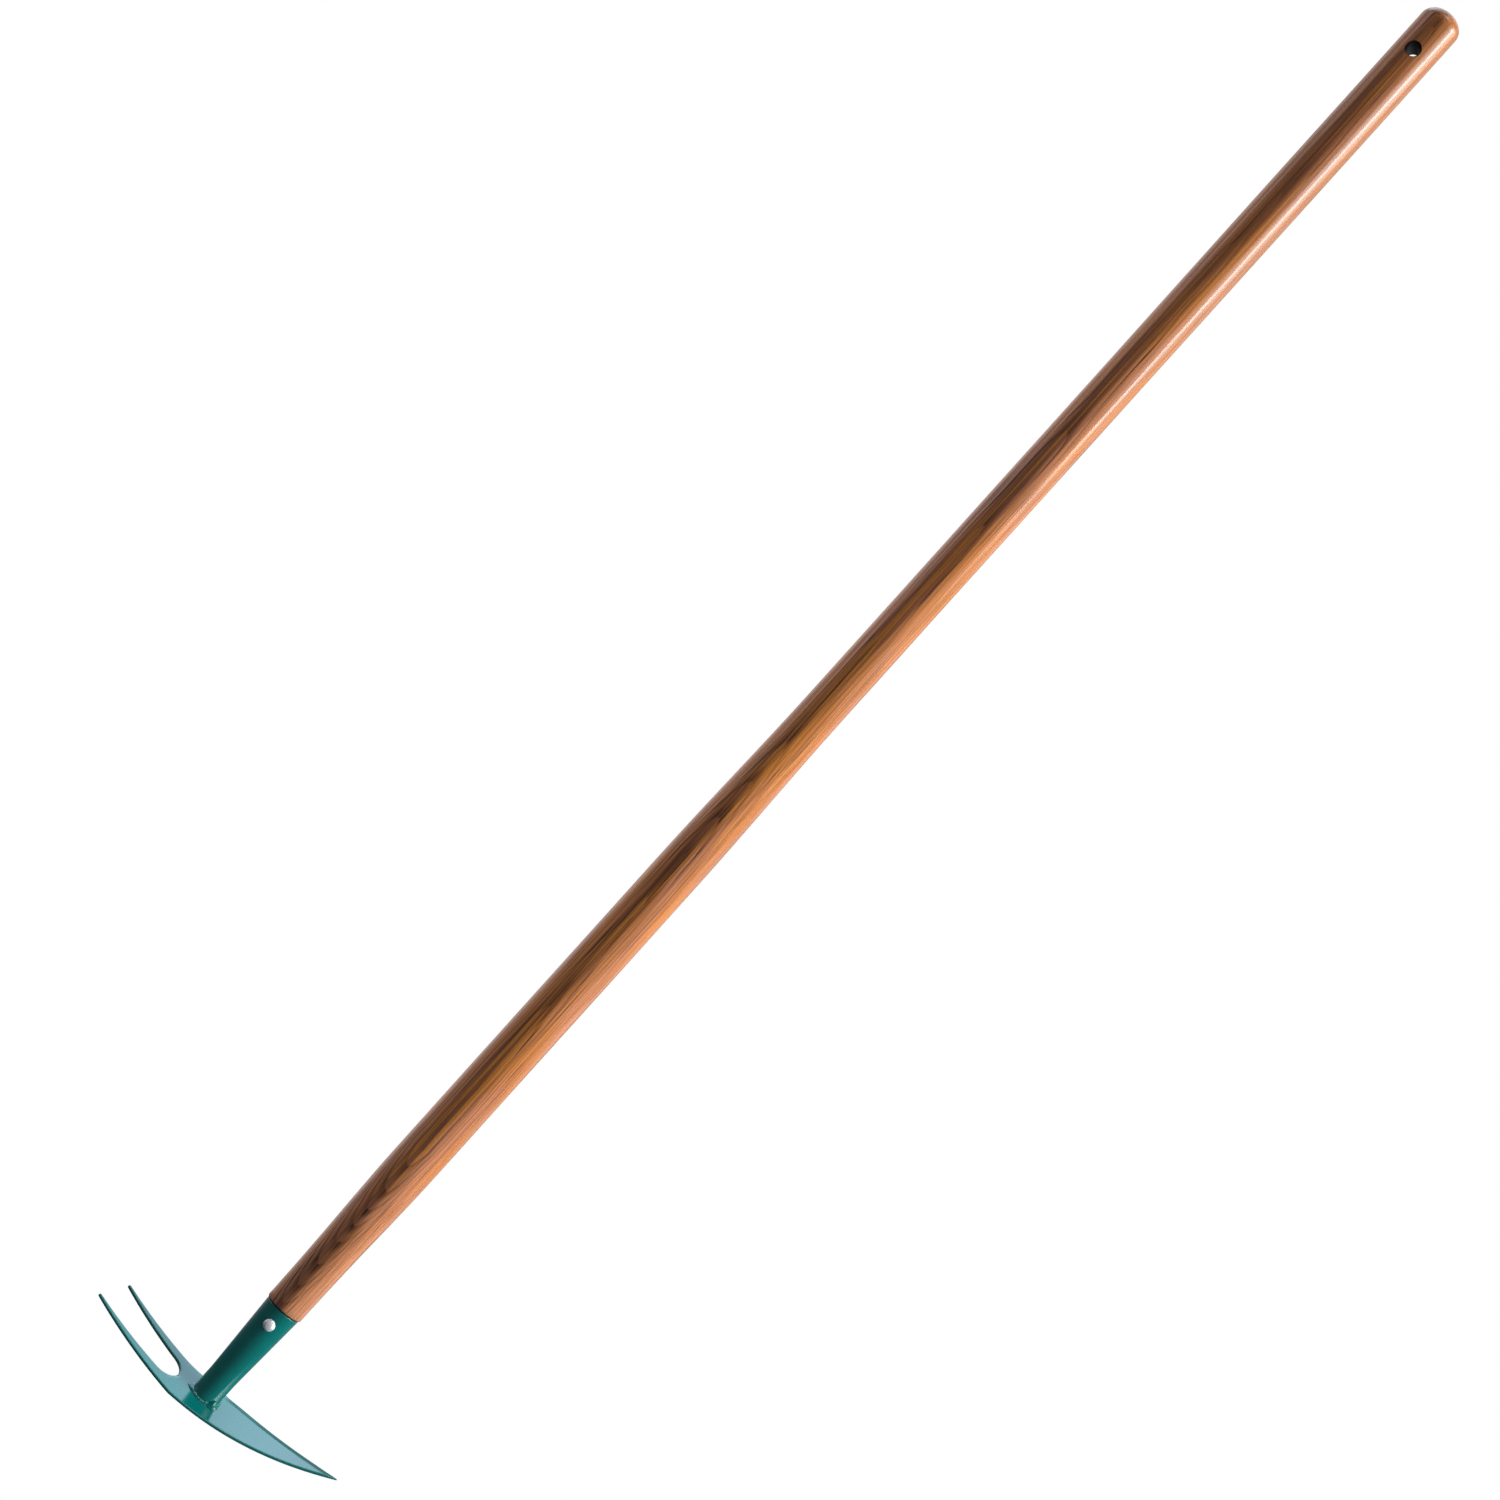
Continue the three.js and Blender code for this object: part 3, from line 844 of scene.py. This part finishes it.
def section(low, high):
    """Points across the blank, crowded towards its edges, with one on the ground bevel's ridge."""
    roll = min(EDGE_ROLL, 0.48 * (high - low))
    near = [roll * (1 - math.cos(math.pi / 2 * k / 5)) for k in range(6)]
    ridge = max(high - BEVEL_WIDTH, (low + high) / 2)
    start = [low + d for d in near]
    end = [high - d for d in reversed(near)]
    inner = [start[-1] + (ridge - start[-1]) * k / 5 for k in range(1, 5)]
    return start + inner + [ridge, (ridge + end[0]) / 2] + end


def rolled(distance, radius):
    """How far a rolled edge lies below the face, at a distance in from the outline."""
    inside = max(0.0, radius - distance)
    return radius - math.sqrt(radius * radius - inside * inside)


def outline_distance(curves):
    """A function for the distance from a point of the blank to its nearest edge."""
    starts = np.concatenate([np.array(curve[:-1]) for curve in curves])
    ends = np.concatenate([np.array(curve[1:]) for curve in curves])
    along = ends - starts
    squares = np.maximum((along**2).sum(1), 1e-9)

    def distance(x, y):
        offset = np.array((x, y)) - starts
        run = np.clip((offset * along).sum(1) / squares, 0, 1)
        return float(np.sqrt(((offset - along * run[:, None]) ** 2).sum(1).min()))

    return distance


def blank_mesh():
    """The flat blank in millimetres: two strips of cross sections that meet along its middle."""
    (front, slot_front, slot_rear, rear), apex, curves = plate_edges()
    distance = outline_distance(curves)
    apex_x, apex_y = apex
    slot_end = SLOT_END_X + SLOT_END_RADIUS
    front_tine, shared = stations(FRONT_TINE_X, apex_x)
    rear_tine, _ = stations(REAR_TINE_X, apex_x)
    points = len(section(0, 1))

    def middle(x):
        run = (x - slot_end) / (apex_x - slot_end)
        return FORK_AXIS_Y + (apex_y - FORK_AXIS_Y) * run**MIDDLE_BEND

    bm = bmesh.new()

    def grid(sections):
        """Quads over successive cross sections. One narrower than a hair closes to a point."""
        rows = []
        for x, ys in sections:
            if ys[-1] - ys[0] < HAIR:
                rows.append([bm.verts.new((x, ys[0], 0))] * len(ys))
            else:
                rows.append([bm.verts.new((x, y, 0)) for y in ys])
        for a, b in zip(rows, rows[1:]):
            for k in range(len(a) - 1):
                corners = list(dict.fromkeys([a[k], b[k], b[k + 1], a[k + 1]]))
                if len(corners) > 2:
                    bm.faces.new(corners)

    tip = [(apex_x, [apex_y] * points)]
    front_sections = [(x, section(front(x), slot_front(x))) for x in front_tine]
    grid(front_sections + [(x, section(front(x), middle(x))) for x in shared] + tip)
    rear_sections = [(x, section(slot_rear(x), rear(x))) for x in rear_tine]
    grid(rear_sections + [(x, section(middle(x), rear(x))) for x in shared] + tip)
    bmesh.ops.remove_doubles(bm, verts=bm.verts[:], dist=1e-3)
    lower = bmesh.ops.duplicate(bm, geom=bm.verts[:] + bm.edges[:] + bm.faces[:])
    pairs = lower["vert_map"]
    faces = [f for f in lower["geom"] if isinstance(f, bmesh.types.BMFace)]
    copies = set(faces)
    for f in faces:
        f.normal_flip()
    rim = [e for e in bm.edges if e.is_boundary and next(iter(e.link_faces)) not in copies]
    for e in rim:
        loop = e.link_loops[0]
        a, b = loop.vert, loop.link_loop_next.vert
        bm.faces.new([b, a, pairs[a], pairs[b]])
    low_verts = {v for f in copies for v in f.verts}
    for v in bm.verts:
        ground = grind(v.co.x, v.co.y, rear)
        radius = EDGE_ROLL * (1 - SHARPENED * ground / BEVEL_DEPTH)
        away = distance(v.co.x, v.co.y)
        if v in low_verts:
            v.co.z = rolled(away, LOWER_ROLL * radius) - PLATE_THICKNESS
        else:
            v.co.z = -ground - rolled(away, radius)
    for e in bm.edges:
        ridge = all(abs(v.co.y - rear(v.co.x) + BEVEL_WIDTH) < 0.01 and v.co.x > 0 for v in e.verts)
        e.smooth = not (ridge and e.verts[0] not in low_verts)
    return bm


def make_plate():
    bm = blank_mesh()
    plate = add_piece("head_sheet", bm, enamel, "head_plate", slot="green_enamel")
    for v in plate.data.vertices:
        v.co = pressed(v.co)
    weighted = plate.modifiers.new("face_normals", "WEIGHTED_NORMAL")
    weighted.weight = 90
    weighted.keep_sharp = True


# ------------------------------------------------------------ weld


WELD_LEG = 1.3 * MM
WELD_AROUND = 480
WELD_ACROSS = 18
WELD_RIPPLES = 34
WELD_SUNK = 0.05 * MM  # it reaches this far into the plate's face
WELD_INSIDE = 0.5 * MM  # and this far under the socket's outer face
# Lumps: azimuth in degrees from +X, extra reach along the plate, extra height, spread in degrees.
ROUGH_LUMP = (-34, 3.1 * MM, 3.3 * MM, 16)
LUMPS = [
    ROUGH_LUMP,
    (-62, 0.4 * MM, 0.4 * MM, 7),
    (-6, 1.0 * MM, 0.8 * MM, 9),
    (210, 2.9 * MM, 0.1 * MM, 20),
    (248, 0.4 * MM, 0.5 * MM, 5),
]


def make_weld():
    """A thin fillet round the socket's foot, with a lump at each end of its run."""
    bm = bmesh.new()
    rings = []
    for i in range(WELD_AROUND):
        turn = 2 * math.pi * i / WELD_AROUND
        out = Vector((math.cos(turn), math.sin(turn), 0))
        foot = plate_top(BASE_RADIUS * out.x, BASE_RADIUS * out.y)
        wall = socket_radius(foot)
        swell = 1 + 0.14 * noise.noise(Vector((3 * out.x, 3 * out.y, 0)))
        reach = height = rough = 0
        for lump in LUMPS:
            azimuth, more_reach, more_height, spread = lump
            off = (math.degrees(turn) - azimuth + 180) % 360 - 180
            near = math.exp(-((off / spread) ** 2))
            reach += more_reach * near
            height += more_height * near
            if lump is ROUGH_LUMP:
                rough = math.exp(-((off / (1.5 * spread)) ** 2))
        ring = []
        for k in range(WELD_ACROSS + 1):
            rise = math.pi / 2 * k / WELD_ACROSS
            phase = WELD_RIPPLES * turn + 1.6 * math.sin(2 * rise) + 3 * noise.noise(4 * out)
            leg = WELD_LEG * swell * (1 + 0.02 * math.sin(phase))
            over = (leg + reach) * math.sin(rise)
            up = (leg + height) * math.cos(rise)
            place = Vector(((wall + over) * out.x, (wall + over) * out.y, up))
            facet = 0.6 * noise.cell(place * 420) + noise.noise(place * 480)
            push = (0.01 + 0.9 * rough) * MM * facet * math.sin(2 * rise)
            x, y = place.x + push * out.x, place.y + push * out.y
            ring.append(bm.verts.new((x, y, plate_top(x, y) + max(0, up + push) - WELD_SUNK)))
        x, y = (wall - WELD_INSIDE) * out.x, (wall - WELD_INSIDE) * out.y
        ring.append(bm.verts.new((x, y, foot - WELD_SUNK)))
        rings.append(ring)
    for a, b in zip(rings, rings[1:] + rings[:1]):
        for k in range(len(a)):
            j = (k + 1) % len(a)
            bm.faces.new([a[k], b[k], b[j], a[j]])
    add_piece("weld_fillet", bm, enamel, "weld_bead", slot="green_enamel")


# ------------------------------------------------------------ rivet


HEAD_RADIUS = 4.1 * MM  # the domed head in front
HEAD_RISE = 2.1 * MM
TAIL_RADIUS = 4.0 * MM  # the formed tail behind
TAIL_RISE = 1.5 * MM
SHANK_RADIUS = 2.5 * MM
BUTTON_RIM = 0.25 * MM
BUTTON_STEPS = 12
RIVET_SEGMENTS = 64
RIVET_DENT = 0.05 * MM


def rivet_button(radius, height):
    """A riveted button's half profile from its rim to its crown, along its own axis."""
    rim = [(radius * 0.90, -1.2 * MM), (radius * 0.985, -0.2 * MM), (radius, BUTTON_RIM)]
    turns = [math.pi / 2 * k / BUTTON_STEPS for k in range(1, BUTTON_STEPS)]
    dome = [(radius * math.cos(a) ** 0.85, BUTTON_RIM + height * math.sin(a)) for a in turns]
    return rim + dome + [(0, BUTTON_RIM + height)]


def make_rivet():
    seat = socket_radius(RIVET_HEIGHT)
    inside = seat - 2 * MM
    profile = [(r, -(seat + h)) for r, h in reversed(rivet_button(TAIL_RADIUS, TAIL_RISE))]
    profile += [(SHANK_RADIUS, -inside), (SHANK_RADIUS, inside)]
    profile += [(r, seat + h) for r, h in rivet_button(HEAD_RADIUS, HEAD_RISE)]
    bm = turned(profile, RIVET_SEGMENTS)
    for v in bm.verts:
        dent = noise.noise(Vector(v.co) * 420)
        v.co += RIVET_DENT * dent * Vector((1, 1, 0.6))
    aim = Vector((math.sin(RIVET_AZIMUTH), -math.cos(RIVET_AZIMUTH), 0))
    turn = aim.to_track_quat("Z", "Y").to_matrix().to_4x4()
    bm.transform(Matrix.Translation((0, 0, RIVET_HEIGHT)) @ turn)
    add_piece("rivet_steel", bm, steel, "rivet", slot="bright_steel")


make_handle()
make_socket()
make_plate()
make_weld()
make_rivet()
